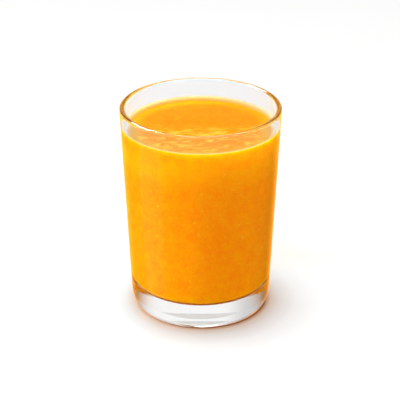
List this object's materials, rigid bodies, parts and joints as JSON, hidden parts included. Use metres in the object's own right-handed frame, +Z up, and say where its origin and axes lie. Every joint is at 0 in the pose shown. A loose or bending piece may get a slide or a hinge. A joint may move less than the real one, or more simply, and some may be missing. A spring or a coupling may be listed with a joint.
{
  "type": "glass of orange juice",
  "caption": "Clear straight-sided tumbler with a heavy base and rounded rim, filled close to the brim with pulpy orange juice.",
  "frame": {"origin": "centre of the footprint, on the surface that the glass stands on", "axes": "+Z up along the glass's axis of revolution, towards the mouth; X and Y are any two level directions"},
  "size_m": [0.0718, 0.0718, 0.096],
  "materials": {
    "clear_glass": "clear, fire-polished",
    "juice": "wet liquid with fine pulp"
  },
  "bodies": {
    "root": {"glass_tumbler": "clear_glass", "orange_juice": "juice"}
  },
  "joints": []
}
